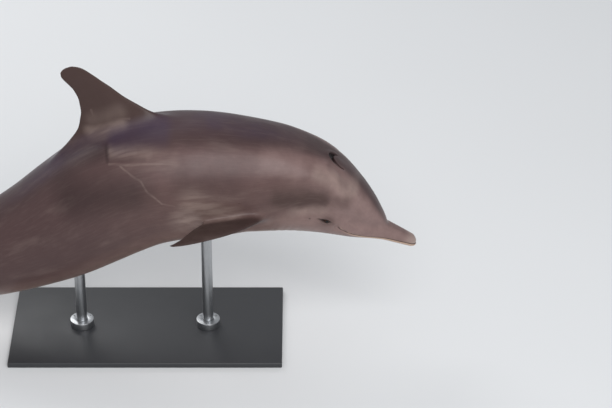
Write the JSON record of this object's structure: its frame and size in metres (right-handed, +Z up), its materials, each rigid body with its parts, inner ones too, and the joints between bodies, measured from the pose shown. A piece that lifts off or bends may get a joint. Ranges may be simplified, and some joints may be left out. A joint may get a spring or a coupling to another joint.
{
  "type": "bottlenose dolphin model on a stand",
  "caption": "Life-size still model of a bottlenose dolphin, arched as it swims, with a short beak, curved dorsal fin, swept flippers and level flukes, on a flat stand with upright rods.",
  "frame": {"origin": "middle of the underside of the stand's base plate", "axes": "+X is forward, the way the dolphin swims; +Z is up; +Y is the dolphin's left"},
  "size_m": [2.4154, 0.812, 1.0701],
  "materials": {
    "skin": "satin",
    "eye": "gloss",
    "stand_base": "satin",
    "stand_steel": "satin"
  },
  "bodies": {
    "root": {"beak_upper": "skin", "jaw_lower": "skin", "head": "skin", "neck": "skin", "trunk_front": "skin", "trunk_rear": "skin", "tail_stock": "skin", "dorsal_fin": "skin", "flipper_left": "skin", "flipper_right": "skin", "fluke_left": "skin", "fluke_right": "skin", "eye_left": "eye", "eye_right": "eye", "stand_base": "stand_base", "stand_rod_front": "stand_steel", "stand_rod_rear": "stand_steel", "stand_collar_front": "stand_steel", "stand_collar_rear": "stand_steel"}
  },
  "joints": []
}
